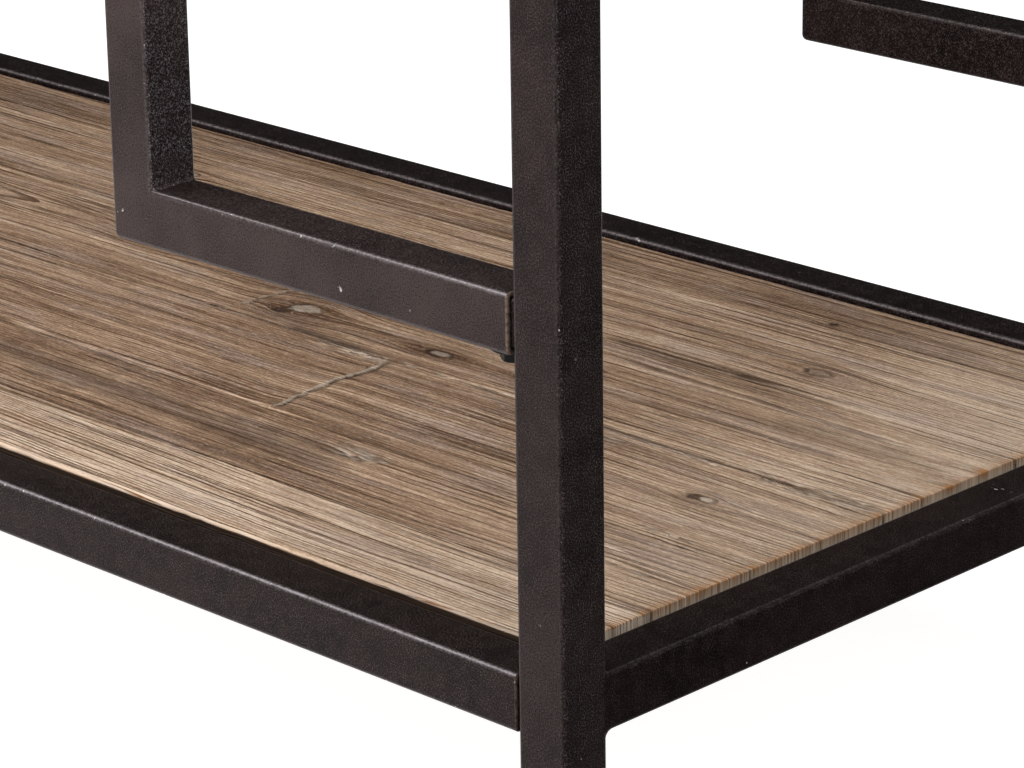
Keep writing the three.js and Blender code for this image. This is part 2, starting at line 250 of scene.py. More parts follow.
def aged_iron():
    """Blackened iron with a finely speckled skin, brown mottling, and worn or chipped arrises.

    The bare attribute is 1 where a cut end is rubbed down to brown metal.
    A second attribute is painted light: 1 on the pieces painted paler as if better lit, 0 on those left
    darker as if shaded.
    It spreads the painted highlight onto their upright arrises too. Up-facing arrises get a painted
    highlight in their rubbed wear, and faces that look up are painted darker as shade.
    """
    look = Look("aged_iron")
    place = look.place()
    cloud = look.noise(place, 22, 4, 0.6)
    mottle = look.noise(place, 120, 4, 0.65)
    hammer = look.noise(place, 600, 2, 0.6)
    speck = look.noise(place, 1500, 2, 0.6)
    arris = look.arris()
    bare = look.add("Attribute", attribute_name="bare").outputs["Fac"]
    painted_light = look.add("Attribute", attribute_name="painted_light").outputs["Fac"]
    busy = look.ramp(mottle, (0.36, 0.45), (0.60, 1.0))
    flecks = look.times(look.ramp(speck, (0.53, 0.0), (0.63, 1.0)), busy)
    pits = look.ramp(speck, (0.34, 0.9), (0.46, 0.0))
    rightward, _, upward = look.facing()
    facing_end = look.math("ABSOLUTE", rightward)
    # Painted highlight: wear and highlight on the arrises weigh most where they face up, and on the pieces
    # given painted light.
    handled_and_lit = look.times_plus(painted_light, 0.30, look.ramp(upward, (0.0, 0.30), (0.6, 1.0)))
    worn_and_highlit = look.times(look.math("POWER", arris, 0.6), look.clamp(handled_and_lit))
    # Painted highlight: held back on the arrises that look towards the table's ends.
    worn_and_highlit = look.times(worn_and_highlit, look.ramp(facing_end, (0.3, 1.0), (0.6, 0.18)))
    rubbed = look.times(worn_and_highlit, look.ramp(hammer, (0.40, 0.0), (0.60, 0.85)))
    chip_place = look.noise(place, 330, 2, 0.5)
    cluster = look.ramp(look.noise(place, 45, 2, 0.5), (0.66, 0.0), (0.72, 1.0))
    near_edge = look.math("MAXIMUM", look.ramp(arris, (0.05, 0.03), (0.5, 1.0)), cluster)
    chip_level = look.times_plus(cluster, 0.05, chip_place)
    chips = look.times(look.ramp(chip_level, (0.725, 0.0), (0.74, 1.0)), near_edge)
    colour = look.ramp(cloud, (0.38, (0.0050, 0.0028, 0.0024)), (0.62, (0.0150, 0.0088, 0.0076)))
    colour = look.blend(look.ramp(mottle, (0.44, 0.0), (0.68, 0.7)), colour, (0.024, 0.0140, 0.0118))
    painted_lit_colour = look.ramp(cloud, (0.38, (0.037, 0.0255, 0.0240)), (0.62, (0.064, 0.0450, 0.0410)))
    # Painted light: pieces given it are painted paler, as if better lit than the rest.
    colour = look.blend(look.times(painted_light, 0.72), colour, painted_lit_colour)
    # Painted shade: faces that look up are painted darker, standing in for the dark room they mirror.
    colour = look.blend(look.ramp(upward, (0.80, 0.0), (0.95, 0.56)), colour, (0.004, 0.0026, 0.0023))
    colour = look.blend(pits, colour, (0.002, 0.0012, 0.0011))
    # Painted glints: on the right-facing sides of pieces given painted light, the flecks are painted a pale
    # blue-grey.
    bright_side = look.times(painted_light, look.ramp(rightward, (0.5, 0.0), (0.8, 1.0)))
    fleck_and_glint_colour = look.blend(bright_side, (0.066, 0.053, 0.053), (0.20, 0.19, 0.21))
    colour = look.blend(flecks, colour, fleck_and_glint_colour)
    # Lighter colour on the weighted arrises: rubbed wear with a painted highlight in it.
    colour = look.blend(rubbed, colour, (0.135, 0.120, 0.124))
    cut_end = look.ramp(bare, (0.0, 0.0), (0.55, 0.30), (0.95, 1.0))
    worn = look.times(cut_end, look.ramp(hammer, (0.36, 0.30), (0.56, 1.0)))
    colour = look.blend(worn, colour, (0.27, 0.195, 0.145))
    colour = look.blend(chips, colour, (0.46, 0.44, 0.42))
    look.set("Base Color", colour)
    rough = look.times_plus(mottle, 0.30, 0.30)
    look.set("Roughness", look.times_plus(arris, -0.04, rough))
    look.set("Specular IOR Level", look.times_plus(worn_and_highlit, 0.85, 0.07))
    look.set("Specular Tint", (1.0, 0.86, 0.86, 1.0))
    dents = look.times_plus(hammer, 0.35, look.times(mottle, 0.45))
    height = look.times_plus(speck, 0.8, dents)
    soft = look.times_plus(arris, -0.6, 0.85)
    look.set("Normal", look.bump(height, 0.00026, soft))
    return look.material


def black_oxide():
    """Bolts: a smooth dark oxide, rubbed to grey on the corners."""
    look = Look("black_bolt")
    place = look.place()
    mottle = look.noise(place, 420, 3, 0.6)
    corner = look.times_plus(look.arris(), 0.8, -1.75)
    wear = look.clamp(look.times_plus(mottle, 2.0, corner))
    colour = look.ramp(mottle, (0.3, (0.003, 0.003, 0.003)), (0.7, (0.008, 0.0075, 0.007)))
    look.set("Base Color", look.blend(wear, colour, (0.09, 0.088, 0.085)))
    look.set("Roughness", look.times_plus(mottle, 0.25, 0.28))
    look.set("Metallic", look.times(wear, 0.6))
    look.set("Specular IOR Level", 0.2)
    look.set("Normal", look.bump(look.noise(place, 1500, 2), 0.00012, 0.8))
    return look.material


def mill_steel():
    """Flat bars under the boards: rolled steel with blue-grey scale and rust freckles."""
    look = Look("plain_steel")
    place = look.place()
    rolled = look.noise(look.scaled(place, 900, 60, 900), 1, 3)
    cloud = look.noise(place, 55, 4, 0.6)
    rust = look.ramp(look.noise(place, 210, 4, 0.65), (0.58, 0.0), (0.70, 0.8))
    colour = look.ramp(cloud, (0.35, (0.045, 0.047, 0.052)), (0.65, (0.10, 0.10, 0.105)))
    look.set("Base Color", look.blend(rust, colour, (0.11, 0.050, 0.026)))
    look.set("Metallic", look.times_plus(rust, -0.7, 0.8))
    look.set("Roughness", look.times_plus(rolled, 0.25, 0.38))
    look.set("Normal", look.bump(rolled, 0.00015, 0.7))
    return look.material


def zinc():
    """Screws: pale zinc with a fine turned grain and dulled patches."""
    look = Look("zinc_screw")
    place = look.place()
    dull = look.noise(place, 600, 3, 0.6)
    turned = look.noise(look.scaled(place, 1200, 1200, 6000), 1, 2)
    look.set("Base Color", look.ramp(dull, (0.35, (0.30, 0.29, 0.27)), (0.65, (0.52, 0.52, 0.50))))
    look.set("Metallic", 0.9)
    look.set("Roughness", look.times_plus(dull, 0.3, 0.22))
    look.set("Normal", look.bump(turned, 0.00006, 0.7))
    return look.material


def black_plastic():
    """Glides: moulded black plastic, scuffed grey where it slides on the floor."""
    look = Look("black_plastic")
    place = look.place()
    grain = look.noise(place, 1800, 2, 0.6)
    scuff = look.ramp(look.noise(look.scaled(place, 90, 700, 90), 1, 3), (0.55, 0.0), (0.75, 0.6))
    look.set("Base Color", look.blend(scuff, (0.012, 0.012, 0.013), (0.055, 0.053, 0.050)))
    look.set("Roughness", look.times_plus(grain, 0.25, 0.42))
    look.set("Normal", look.bump(grain, 0.00012, 0.6))
    return look.material


def weathered_fir():
    """Brushed old fir. Each board's mesh carries the run of its grain and its marks, in millimetres.

    Underneath it carries only plain places and the board's own number, and the rings are worked out here.
    """
    look = Look("weathered_fir")
    flow = look.add("Attribute", attribute_name="flow").outputs["Vector"]
    marks = look.add("Attribute", attribute_name="marks")
    along, across, ring = look.split(flow)
    tone, worn, stain_and_shade = look.split(marks.outputs["Vector"])
    warm = marks.outputs["Alpha"]
    downward = look.times(look.facing()[2], -1.0)
    below = look.ramp(downward, (0.7, 0.0), (0.9, 1.0))
    wander = look.noise(look.scaled(flow, 0.003, 0.03, 0.5), 1, 2)
    sawn_rings = look.times_plus(across, 0.22, look.times(wander, 9.0))
    ring = look.times_plus(below, sawn_rings, ring)

    fibre = look.noise(look.scaled(flow, 0.028, 0.85, 0), 1, 4, 0.65)
    hair = look.noise(look.scaled(flow, 0.10, 1.0, 0), 1, 3, 0.7)
    crumb = look.noise(look.scaled(flow, 0.45, 0.9, 0), 1, 2, 0.65)
    streak = look.noise(look.scaled(flow, 0.006, 0.20, 0), 1, 4, 0.6)
    patch = look.noise(look.scaled(flow, 0.012, 0.07, 0), 1, 3, 0.6)
    seams = look.noise(look.scaled(flow, 0.005, 0.75, 0), 1, 3, 0.65)

    phase = look.math("FRACT", ring)
    year = look.math("FLOOR", ring)
    late = look.ramp(phase, (0.0, 0.3), (0.03, 0.0), (0.66, 0.0), (0.78, 0.80), (0.94, 1.0))
    life = look.vector(look.times(along, 0.010), look.times(year, 1.7))
    late = look.times(late, look.ramp(look.noise(life, 1, 2), (0.38, 0.12), (0.60, 1.0)))
    cuts = look.ramp(seams, (0.385, 1.0), (0.425, 0.0))
    lines = look.math("MAXIMUM", late, cuts)

    level = look.times_plus(streak, 1.1, look.math("SUBTRACT", tone, 0.50))
    level = look.times_plus(look.math("SUBTRACT", fibre, 0.5), 0.75, level)
    level = look.times_plus(look.math("SUBTRACT", hair, 0.5), 0.95, level)
    level = look.times_plus(look.math("SUBTRACT", crumb, 0.5), 0.70, level)
    colour = look.ramp(
        level,
        (0.0, (0.090, 0.049, 0.028)),
        (0.35, (0.275, 0.172, 0.107)),
        (0.65, (0.505, 0.343, 0.224)),
        (1.0, (0.83, 0.65, 0.49)),
    )
    grey = look.ramp(patch, (0.48, 0.0), (0.68, 0.50))
    colour = look.blend(grey, colour, look.blend(level, (0.13, 0.082, 0.066), (0.60, 0.47, 0.40)))
    colour = look.blend(look.times(lines, 0.90), colour, (0.088, 0.040, 0.018))
    dust = look.ramp(look.noise(look.scaled(flow, 0.22, 1.2, 0), 1, 2, 0.6), (0.60, 0.0), (0.72, 0.60))
    dust = look.times(dust, look.ramp(patch, (0.35, 0.3), (0.6, 1.0)))
    colour = look.blend(dust, colour, (0.74, 0.64, 0.54))
    bleached = look.times(worn, look.ramp(hair, (0.30, 0.40), (0.60, 1.0)))
    colour = look.blend(bleached, colour, (0.62, 0.53, 0.43))
    fresh = look.times(warm, look.ramp(lines, (0.0, 0.30), (0.6, 1.0)))
    colour = look.blend(fresh, colour, (0.42, 0.190, 0.065))
    # Dark stain, and the painted shade kept in the same mark: shadows beside spikes and chips, the shaded
    # side of knot rims and the front board's front face.
    colour = look.blend(stain_and_shade, colour, (0.034, 0.020, 0.013))
    look.set("Base Color", colour)
    look.set("Roughness", look.times_plus(fibre, 0.20, 0.66))
    look.set("Specular IOR Level", 0.08)
    height = look.times_plus(lines, -0.9, look.times_plus(hair, 0.45, fibre))
    look.set("Normal", look.bump(height, 0.0007, 1.0))
    return look.material


# ------------------------------------------------------------------ building pieces

SHARP_ANGLE = math.radians(50)
SCREW_HOLE_RADIUS = 3.3 * MM
SCREW_HOLE_DEPTH = 5 * MM
SCREW_HOLE_SIDES = 32


class Skin:
    """Gathers the points and faces of one piece, all in metres."""

    def __init__(self):
        self.points = []
        self.faces = []
        self.bare = []

    def ring(self, points, bare=0.0):
        start = len(self.points)
        self.points.extend(points)
        self.bare.extend([bare] * len(points))
        return list(range(start, len(self.points)))

    def band(self, first, second):
        """Quads between two closed rings of the same count."""
        count = len(first)
        for i in range(count):
            j = (i + 1) % count
            self.faces.append((first[i], first[j], second[j], second[i]))

    def bands(self, rings, closed=False):
        for first, second in zip(rings, rings[1:]):
            self.band(first, second)
        if closed:
            self.band(rings[-1], rings[0])

    def lid(self, ring):
        self.faces.append(tuple(ring))

    def piece(self, name, material, slot, replaced=(), painted_light=0.0, screws=()):
        """One smooth-shaded object with sharp creases kept, riding on the table's body.

        screws names the set screws that sit in its lower wall, each in a hole of its own.
        """
        mesh = bpy.data.meshes.new(name)
        mesh.from_pydata(self.points, [], self.faces)
        mesh.attributes.new("bare", "FLOAT", "POINT").data.foreach_set("value", self.bare)
        # Per point, how much painted light the iron material puts on this piece.
        painted_light_values = [painted_light] * len(self.points)
        mesh.attributes.new("painted_light", "FLOAT", "POINT").data.foreach_set("value", painted_light_values)
        tidy = bmesh.new()
        tidy.from_mesh(mesh)
        bmesh.ops.remove_doubles(tidy, verts=tidy.verts, dist=0.001 * MM)
        bmesh.ops.recalc_face_normals(tidy, faces=tidy.faces)
        tidy.to_mesh(mesh)
        tidy.free()
        for screw in screws:
            mesh = drilled(mesh, screw)
        return dress(name, mesh, material, replaced)


def drilled(mesh, screw):
    """The mesh with a round hole in its lower wall where a set screw sits."""
    low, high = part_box(screw)
    middle = Vector(((low.x + high.x) / 2, (low.y + high.y) / 2, low.z))
    bit = bmesh.new()
    bmesh.ops.create_cone(
        bit, cap_ends=True, segments=SCREW_HOLE_SIDES, depth=SCREW_HOLE_DEPTH,
        radius1=SCREW_HOLE_RADIUS, radius2=SCREW_HOLE_RADIUS, matrix=Matrix.Translation(middle),
    )
    bit_mesh = bpy.data.meshes.new("drill_bit")
    bit.to_mesh(bit_mesh)
    bit.free()
    blank = bpy.data.objects.new("blank", mesh)
    cutter = bpy.data.objects.new("drill_bit", bit_mesh)
    for part in (blank, cutter):
        bpy.context.scene.collection.objects.link(part)
    cut = blank.modifiers.new("hole", "BOOLEAN")
    cut.operation = "DIFFERENCE"
    cut.solver = "EXACT"
    cut.object = cutter
    result = bpy.data.meshes.new_from_object(blank.evaluated_get(bpy.context.evaluated_depsgraph_get()))
    bpy.data.objects.remove(blank)
    bpy.data.objects.remove(cutter)
    return result


def dress(name, mesh, material, replaced):
    mesh.shade_smooth()
    mesh.set_sharp_from_angle(angle=SHARP_ANGLE)
    mesh.materials.append(material)
    piece = bpy.data.objects.new(name, mesh)
    bpy.context.scene.collection.objects.link(piece)
    weigh = piece.modifiers.new("flat_faces_lead", "WEIGHTED_NORMAL")
    weigh.keep_sharp = True
    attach(piece, "root")
    if replaced:
        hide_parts(*replaced)
    return piece


# ------------------------------------------------------------------ iron frame

TUBE_RADIUS = 2.25 * MM
TUBE_WALL = 2 * MM
BORE_RADIUS = 0.6 * MM
CORNER_STEPS = 4
END_CHAMFER = 0.5 * MM
BARE_REACH = 1.0 * MM
BORE_RUB = 0.35
RAIL_END_RUB = 0.6
# The legs get part of the painted light.
LEG_PAINTED_LIGHT = 0.35
ELBOW_RADIUS = 3 * MM
ELBOW_STEPS = 3
SPIGOT_HALF = 10 * MM
SPIGOT_REACH = 32 * MM
SPIGOT_SUNK = 1 * MM


def rounded_square(half, radius):
    """Points of a square centred on 0, anticlockwise, with rounded corners."""
    points = []
    for quarter in range(4):
        middle = math.pi / 4 + quarter * math.pi / 2
        side = (half - radius) * math.sqrt(2)
        centre = side * Vector((math.cos(middle), math.sin(middle)))
        for step in range(CORNER_STEPS + 1):
            angle = quarter * math.pi / 2 + step / CORNER_STEPS * math.pi / 2
            points.append(centre + radius * Vector((math.cos(angle), math.sin(angle))))
    return points


def bar_rings(skin, half, radius, start, end, chamfer, place, rub):
    """Rings of one bar surface. place(u, v, s) puts a section point at distance s along the bar.

    rub is how bare its ends are. The bareness fades out over a short way along the bar.
    """
    sections = [(start, 0, rub), (end, 0, rub)]
    if chamfer:
        fade = BARE_REACH
        sections = [(start, chamfer, rub), (start + chamfer, 0, 0.8 * rub), (start + fade, 0, 0)]
        sections += [(end - fade, 0, 0), (end - chamfer, 0, 0.8 * rub), (end, chamfer, rub)]
    rings = []
    for s, inward, bare in sections:
        scale = (half - inward) / half
        points = [place(u * scale, v * scale, s) for u, v in rounded_square(half, radius)]
        rings.append(skin.ring(points, bare))
    return rings


def tube_walls(skin, low, high, rub=0.0, capped=False):
    """A square tube that fills the box low to high along its longest side, open or with a closed top."""
    size = high - low
    axis = max(range(3), key=lambda i: size[i])
    first, second = [i for i in range(3) if i != axis]
    half = min(size[first], size[second]) / 2
    centre = (low + high) / 2

    def place(u, v, s):
        point = Vector(centre)
        point[first] += u
        point[second] += v
        point[axis] = s
        return point

    outer = bar_rings(skin, half, TUBE_RADIUS, low[axis], high[axis], END_CHAMFER, place, rub)
    bore_end = high[axis] - (TUBE_WALL if capped else 0)
    inner = bar_rings(skin, half - TUBE_WALL, BORE_RADIUS, low[axis], bore_end, 0, place, BORE_RUB * rub)
    if capped:
        skin.bands(outer)
        skin.bands(inner)
        skin.band(outer[0], inner[0])
        skin.lid(outer[-1])
        skin.lid(inner[-1])
    else:
        skin.bands(outer + inner[::-1], closed=True)


def spigot(skin, leg_low, leg_high, arm_low, arm_high):
    """A solid square stub from the leg's wall into the open end of the arm beside it."""
    inward = math.copysign(1, (arm_low.x + arm_high.x) - (leg_low.x + leg_high.x))
    face = leg_high.x if inward > 0 else leg_low.x
    y = (arm_low.y + arm_high.y) / 2
    z = arm_low.z + (leg_high.x - leg_low.x) / 2

    def place(u, v, s):
        return Vector((face + inward * s, y + u, z + v))

    rings = bar_rings(skin, SPIGOT_HALF, 1.5 * MM, -SPIGOT_SUNK, SPIGOT_REACH, END_CHAMFER, place, 0)
    skin.bands(rings)
    skin.lid(rings[0])
    skin.lid(rings[-1])


def make_legs(iron):
    for end in ENDS:
        for side in SIDES:
            corner = f"{end}_{side}"
            skin = Skin()
            low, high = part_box(f"foot_{corner}")
            leg_low = Vector((low.x, low.y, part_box(f"leg_{corner}")[0].z))
            leg_high = Vector((high.x, high.y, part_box(f"leg_{corner}")[1].z))
            tube_walls(skin, leg_low, leg_high, capped=True)
            for arm in (f"lower_{end}_rail", f"upper_{end}_rail", f"l_frame_{corner}"):
                spigot(skin, leg_low, leg_high, *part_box(arm))
            skin.piece(f"leg_{corner}_iron", iron, "aged_iron", [f"leg_{corner}"], painted_light=LEG_PAINTED_LIGHT)


def make_rail(rail, iron, rub, screws):
    skin = Skin()
    tube_walls(skin, *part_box(rail), rub=rub)
    skin.piece(f"{rail}_iron", iron, "aged_iron", [rail], screws=screws)


def make_rails(iron):
    """The long rails, of which set screws hold the lower ones, and then the welded side rails."""
    for level in LEVELS:
        for end in ENDS:
            screws = [f"lower_rail_set_screw_{end}_{side}" for side in SIDES] if level == "lower" else []
            make_rail(f"{level}_{end}_rail", iron, RAIL_END_RUB, screws)
    for level in LEVELS:
        for side in SIDES:
            make_rail(f"{level}_side_rail_{side}", iron, 0.0, [])


def elbow_tube(skin, half, radius, low, high, toward, chamfer):
    """Rings of an L: an arm along X at the bottom, and a post up Z. toward is the arm's sign along X."""
    size = high.y - low.y
    corner_x = low.x if toward > 0 else high.x
    tip = high.x if toward > 0 else low.x
    y = (low.y + high.y) / 2
    section = [(u + size / 2, v) for u, v in rounded_square(half, radius)]

    def spot(x_in, z_in, v):
        return Vector((corner_x + toward * x_in, y + v, low.z + z_in))

    def shrunk(inward):
        scale = (half - inward) / half
        return [((u - size / 2) * scale + size / 2, v * scale) for u, v in section]

    reach = abs(tip - corner_x)
    height = high.z - low.z
    rings = []
    if chamfer:
        rings.append(skin.ring([spot(reach, u, v) for u, v in shrunk(chamfer)], 1))
        rings.append(skin.ring([spot(reach - chamfer, u, v) for u, v in section], 0.8))
        rings.append(skin.ring([spot(reach - BARE_REACH, u, v) for u, v in section]))
    else:
        rings.append(skin.ring([spot(reach, u, v) for u, v in section], BORE_RUB))
    for step in range(ELBOW_STEPS + 1):
        turn = step / ELBOW_STEPS * math.pi / 2
        ring = []
        for u, v in section:
            bend = max(ELBOW_RADIUS - u, 0)
            centre = max(ELBOW_RADIUS, u)
            ring.append(spot(centre - bend * math.sin(turn), centre - bend * math.cos(turn), v))
        rings.append(skin.ring(ring))
    rings.append(skin.ring([spot(u, height - chamfer, v) for u, v in section]))
    if chamfer:
        rings.append(skin.ring([spot(u, height, v) for u, v in shrunk(chamfer)]))
    return rings


def make_l_frames(iron):
    for end in ENDS:
        for side in SIDES:
            name = f"l_frame_{end}_{side}"
            low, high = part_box(name)
            toward = 1 if side == "right" else -1
            half = (high.y - low.y) / 2
            skin = Skin()
            outer = elbow_tube(skin, half, TUBE_RADIUS, low, high, toward, END_CHAMFER)
            inner = elbow_tube(skin, half - TUBE_WALL, BORE_RADIUS, low, high, toward, 0)
            skin.bands(outer)
            skin.bands(inner)
            skin.band(outer[0], inner[0])
            skin.band(outer[-1], inner[-1])
            # Painted light: the front L-frames are painted paler, as if lit, and the back ones darker, as
            # if shaded.
            pale = 1.0 if end == "front" else 0.0
            skin.piece(f"{name}_iron", iron, "aged_iron", [name], painted_light=pale)
            make_elbow_weld(f"elbow_weld_{end}_{side}", low, high, toward, iron, pale)


ELBOW_WELD_SIZE = 1.3 * MM


def make_elbow_weld(name, low, high, toward, iron, pale):
    """A thin bead in the L's inner corner, from face to face."""
    size = high.y - low.y
    corner_x = (low.x if toward > 0 else high.x) + toward * size
    corner_z = low.z + size
    skin = Skin()
    rings = []
    steps = 40
    inset = 1.2 * MM
    for step in range(steps + 1):
        y = low.y + inset + (size - 2 * inset) * step / steps
        swell = ELBOW_WELD_SIZE * (1 + 0.18 * math.sin(step * 1.9) + 0.08 * math.sin(step * 4.3))
        if step in (0, steps):
            swell *= 0.5
        sunk = 0.3 * MM
        hollow = [(0.62 * swell, 0.25 * swell), (0.25 * swell, 0.62 * swell)]
        outline = [(-sunk, -sunk), (swell, -sunk), *hollow, (-sunk, swell)]
        rings.append(skin.ring([Vector((corner_x + toward * a, y, corner_z + b)) for a, b in outline]))
    skin.bands(rings)
    skin.lid(rings[0])
    skin.lid(rings[-1])
    # The bead takes its L-frame's painted light.
    skin.piece(name, iron, "aged_iron", painted_light=pale)


FILLET_UNDER = 3.8 * MM
FILLET_OVER = 2.0 * MM
FILLET_STEPS = 5


def make_rail_weld(name, rail_low, rail_high, leg_face, away, iron):
    """The weld round a side rail's end. away is the sign along Y from the leg.

    It is a hollow fillet under and over the rail. At the sides it is ground flush across the leg's arris.
    """
    half = (rail_high.x - rail_low.x) / 2
    centre = (rail_low + rail_high) / 2
    skin = Skin()
    section = rounded_square(half, TUBE_RADIUS)
    flat = half - TUBE_RADIUS
    past_chamfer = 1.0 * MM
    sunk = 0.3 * MM

    def spot(u, v, out, along):
        return Vector((centre.x + u, leg_face + away * along, centre.z + v + math.copysign(out, v)))

    def bead(number, v, turn):
        """The weld's (out, along) at one section point, with turn from 0 at the rail to 1 at the leg."""
        level = min(max((abs(v) - flat) / TUBE_RADIUS, 0), 1)
        fillet = (FILLET_UNDER if v < 0 else FILLET_OVER) * (1 + 0.05 * math.sin(3.1 * number))
        angle = turn * math.pi / 2
        out = fillet * (1 - math.cos(angle)) * level
        flush = past_chamfer - turn * (past_chamfer + TUBE_RADIUS)
        along = level * fillet * (1 - math.sin(angle)) + (1 - level) * flush
        return out, along

    rings = []
    for step in range(FILLET_STEPS + 1):
        turn = step / FILLET_STEPS
        rings.append(skin.ring([spot(u, v, *bead(n, v, turn)) for n, (u, v) in enumerate(section)]))
    shrink = (half - sunk) / half
    for turn in (1, 0):
        alongs = [bead(n, v, turn)[1] for n, (_, v) in enumerate(section)]
        ring = [spot(u * shrink, v * shrink, 0, along) for (u, v), along in zip(section, alongs)]
        rings.append(skin.ring(ring))
    skin.bands(rings, closed=True)
    skin.piece(name, iron, "aged_iron")


def make_rail_welds(iron):
    for level in LEVELS:
        for side in SIDES:
            low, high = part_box(f"{level}_side_rail_{side}")
            for end in ENDS:
                foot_low, foot_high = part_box(f"foot_{end}_{side}")
                face = foot_high.y if end == "front" else foot_low.y
                away = 1 if end == "front" else -1
                make_rail_weld(f"{level}_weld_{end}_{side}", low, high, face, away, iron)


HEAD_FLATS = 10 * MM
HEAD_HEIGHT = 4.8 * MM
WASHER_RADIUS = 9.5 * MM
WASHER_THICKNESS = 1.2 * MM
SHANK_RADIUS = 3 * MM


def make_bolt(node, oxide):
    """A hex bolt, head down, with a chamfered head and a flat washer."""
    low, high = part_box(node)
    centre = (low + high) / 2
    skin = Skin()
    count = 72

    def hexagon(angle):
        """Distance from the middle to the hexagon's side."""
        sector = math.pi / 3
        return HEAD_FLATS / 2 / math.cos((angle + sector / 2) % sector - sector / 2)

    def ring(z, radius, hexed=False):
        points = []
        for i in range(count):
            angle = 2 * math.pi * i / count
            reach = min(hexagon(angle), radius) if hexed else radius
            x = centre.x + reach * math.cos(angle)
            y = centre.y + reach * math.sin(angle)
            points.append(Vector((x, y, z)))
        return skin.ring(points)

    corner = HEAD_FLATS / 2 / math.cos(math.pi / 6)
    seat = low.z + HEAD_HEIGHT
    face = seat + WASHER_THICKNESS
    bevel = 0.25 * MM
    rings = [
        ring(low.z, 0.86 * HEAD_FLATS / 2, True),
        ring(low.z + 0.12 * MM, 0.95 * HEAD_FLATS / 2, True),
        ring(low.z + 0.45 * MM, HEAD_FLATS / 2 + 0.25 * MM, True),
        ring(low.z + 0.85 * MM, corner, True),
        ring(seat, corner, True),
        ring(seat, WASHER_RADIUS - bevel),
        ring(seat + bevel, WASHER_RADIUS),
        ring(face - bevel, WASHER_RADIUS),
        ring(face, WASHER_RADIUS - bevel),
        ring(face, SHANK_RADIUS),
        ring(high.z - 0.6 * MM, SHANK_RADIUS),
        ring(high.z, SHANK_RADIUS - 0.5 * MM),
    ]
    skin.bands(rings)
    skin.lid(rings[0])
    skin.lid(rings[-1])
    skin.piece(f"{node}_hex", oxide, "black_bolt", [node])


def make_bolts(oxide):
    for joint in ("l_frame", "upper_rail"):
        for end in ENDS:
            for side in SIDES:
                make_bolt(f"{joint}_bolt_{end}_{side}", oxide)


# ------------------------------------------------------------------ seeded noise for the boards

NOISE_CELLS = 256


def noise(x, y, seed):
    """Smooth random heights, 0 to 1, with one random value on each whole x and y."""
    cells = np.random.default_rng(seed).random((NOISE_CELLS, NOISE_CELLS))
    x, y = np.broadcast_arrays(x, y)
    column, row = np.floor(x).astype(int), np.floor(y).astype(int)
    right, up = x - column, y - row
    right, up = right * right * (3 - 2 * right), up * up * (3 - 2 * up)

    def corner(i, j):
        return cells[(column + i) % NOISE_CELLS, (row + j) % NOISE_CELLS]

    low = corner(0, 0) * (1 - right) + corner(1, 0) * right
    high = corner(0, 1) * (1 - right) + corner(1, 1) * right
    return low * (1 - up) + high * up


def layered(x, y, seed, layers=3):
    total, weight = 0, 0
    for k in range(layers):
        total = total + noise(x * 2 ** k, y * 2 ** k, seed + k) / 2 ** k
        weight += 0.5 ** k
    return total / weight


def rise(value, start, end):
    """0 below start, 1 above end, smooth between."""
    t = np.clip((value - start) / (end - start), 0, 1)
    return t * t * (3 - 2 * t)


def bell(value, width):
    return np.exp(-(value / width) ** 2)


# ------------------------------------------------------------------ boards

# Marks on the shelf, in millimetres from the table's middle. Sizes are half lengths and half widths.
Knot = namedtuple("Knot", "x y length width pale")
SHELF_KNOTS = [
    Knot(284, 20, 10, 7, 0.8),
    Knot(275, 11, 5, 3, 0.1),
    Knot(382, 15, 8, 3.5, 0.6),
    Knot(607, -45, 5, 3, 0.8),
    Knot(600, -45, 3, 2.5, 0.0),
    Knot(535, 115, 8, 4, 0.5),
    Knot(494, 175, 3, 2, 0.0),
]
Spike = namedtuple("Spike", "x y end_x end_y width pale")
SHELF_SPIKES = [
    Spike(370, -8, 377, -88, 1.9, 0.75),
    Spike(258, 46, 252, 2, 1.5, 0.35),
]
Streak = namedtuple("Streak", "start end y width depth")
SHELF_STREAKS = [
    Streak(422, 540, 88, 1.6, 0.8),
    Streak(380, 388, -155, 0.7, 0.9),
    Streak(398, 404, -157, 0.7, 0.9),
    Streak(290, 372, -5, 2.6, 0.75),
    Streak(200, 470, -120, 15, 0.40),
    Streak(470, 672, -6.5, 0.8, 0.85),
    Streak(430, 462, -111, 1.8, 0.7),
    Streak(555, 672, 53, 7, 0.32),
]
SHELF_GLOWS = [Streak(180, 420, -91, 1.5, 0.6)]
Chip = namedtuple("Chip", "start end y width")
SHELF_CHIPS = [
    Chip(318, 372, -9, 4.5),
    Chip(372, 500, -6, 2.0),
    Chip(500, 590, -9, 2.2),
    Chip(600, 672, -10, 3.6),
    Chip(590, 672, -3, 1.8),
    Chip(515, 535, -16, 3.5),
    Chip(625, 632, 5, 1.8),
    Chip(600, 640, -86, 1.6),
    Chip(590, 660, -127, 1.6),
    Chip(436, 475, -106, 5.0),
    Chip(438, 466, -109, 3.0),
]
SHELF_TONES = [0.70, 0.36, 0.37, 0.46, 0.53, 0.46]
TOP_TONES = [0.43, 0.50, 0.35, 0.46, 0.39]
# How the log lay in each board: its heart's place across, its depth below the face, and its slope.
Heart = namedtuple("Heart", "y depth slope")
SHELF_HEARTS = [
    Heart(-330, 60, 0.01),
    Heart(-30, 90, 0.02),
    Heart(60, 55, -0.01),
    Heart(49, 30, 0.0225),
    Heart(220, 45, -0.02),
    Heart(60, 70, 0.01),
]
RING_GAP = 2.2
FRONT_ROUND = 1.4
SEAM_ROUND = 0.6
LOWER_ARRIS = 0.5
PALE_END = 0.19
END_GREY = 0.20
